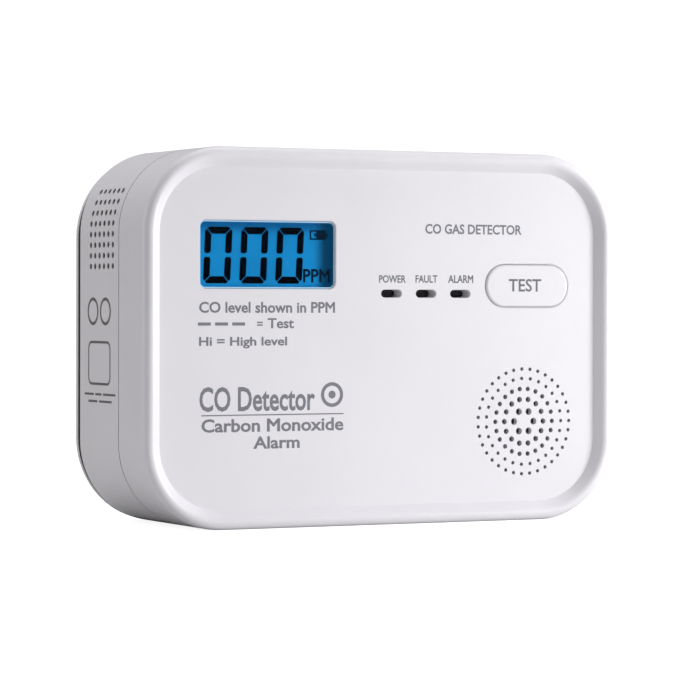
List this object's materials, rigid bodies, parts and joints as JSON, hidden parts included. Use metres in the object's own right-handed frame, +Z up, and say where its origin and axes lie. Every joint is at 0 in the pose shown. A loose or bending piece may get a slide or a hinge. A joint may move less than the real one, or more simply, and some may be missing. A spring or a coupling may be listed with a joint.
{
  "type": "carbon monoxide detector",
  "caption": "Wall-mounted carbon monoxide alarm with digital display, test button, indicator slots, sounder grille and side vents, lifting off its wall plate, with a battery door.",
  "frame": {"origin": "on the wall plane, midway between the two wall screw holes, at the middle of the front's height", "axes": "+X to the right as the front is read, +Y into the wall (the front faces -Y), +Z up"},
  "size_m": [0.12, 0.04, 0.085],
  "materials": {
    "housing_white": "satin moulded",
    "plate_white": "satin moulded",
    "button_white": "satin moulded",
    "label_silver": "blank satin film",
    "lens_clear": "clear polished",
    "lcd_blue": "polished",
    "backlight_blue": "diffusing",
    "holder_ivory": "moulded",
    "strip_grey": "matte",
    "switch_dark": "moulded",
    "plunger_black": "moulded",
    "guide_clear": "clear polished",
    "led_green": "diffused epoxy",
    "led_yellow": "diffused epoxy",
    "led_red": "diffused epoxy",
    "gauze_grey": "fine woven",
    "gasket_black": "matte foam",
    "sounder_brass": "rolled",
    "ceramic_grey": "silvered",
    "board_green": "solder mask",
    "chip_black": "moulded",
    "resistor_brown": "fired",
    "capacitor_sleeve": "sleeved can",
    "coil_copper": "enamelled winding",
    "sensor_white": "moulded",
    "sensor_cap_metal": "pressed",
    "pins_gold": "plated",
    "screen_grey": "fine mesh",
    "cell_jacket": "printed sleeve",
    "contact_steel": "nickel plated",
    "screw_steel": "zinc plated"
  },
  "bodies": {
    "mounting_plate": {"mounting_plate": "plate_white"},
    "housing": {"rear_cover": "housing_white", "front_cover": "housing_white", "display_lens": "lens_clear", "lcd_glass": "lcd_blue", "lcd_backlight": "backlight_blue", "lcd_holder": "holder_ivory", "lcd_connector_strips": "strip_grey", "test_switch_body": "switch_dark", "power_light_guide": "guide_clear", "fault_light_guide": "guide_clear", "alarm_light_guide": "guide_clear", "power_led": "led_green", "fault_led": "led_yellow", "alarm_led": "led_red", "sounder_gauze": "gauze_grey", "sounder_gasket": "gasket_black", "sounder_housing": "holder_ivory", "sounder_disc": "sounder_brass", "sounder_ceramic": "ceramic_grey", "sounder_contacts": "pins_gold", "main_board": "board_green", "microcontroller": "chip_black", "driver_chips": "chip_black", "chip_resistors": "resistor_brown", "smoothing_capacitor": "capacitor_sleeve", "boost_coil": "coil_copper", "co_sensor_body": "sensor_white", "co_sensor_cap": "sensor_cap_metal", "co_sensor_pins": "pins_gold", "dust_screens": "screen_grey", "battery_1": "cell_jacket", "battery_2": "cell_jacket", "battery_3": "cell_jacket", "contact_plates": "contact_steel", "contact_springs": "contact_steel", "case_screws": "screw_steel", "board_screws": "screw_steel", "sounder_screws": "screw_steel"},
    "test_button": {"test_button": "button_white"},
    "switch_plunger": {"test_switch_plunger": "plunger_black"},
    "battery_door": {"battery_door": "housing_white", "door_label": "label_silver"}
  },
  "joints": [
    {"name": "housing_lift", "type": "slide", "parent": "mounting_plate", "child": "housing", "axis": [0, 0, 1], "range_m": [0, 0.008]},
    {"name": "button_press", "type": "slide", "parent": "housing", "child": "test_button", "axis": [0, 1, 0], "range_m": [0, 0.0007], "stiffness_N_per_m": 1500},
    {"name": "plunger_press", "type": "slide", "parent": "housing", "child": "switch_plunger", "axis": [0, 1, 0], "range_m": [0, 0.0007]},
    {"name": "door_hinge", "type": "hinge", "parent": "housing", "child": "battery_door", "pos_m": [0, -0.0046, 0.021], "axis": [1, 0, 0], "range_deg": [0, 90]}
  ],
  "couplings": [
    {"joint": "plunger_press", "follows": "button_press", "ratio": 1}
  ]
}
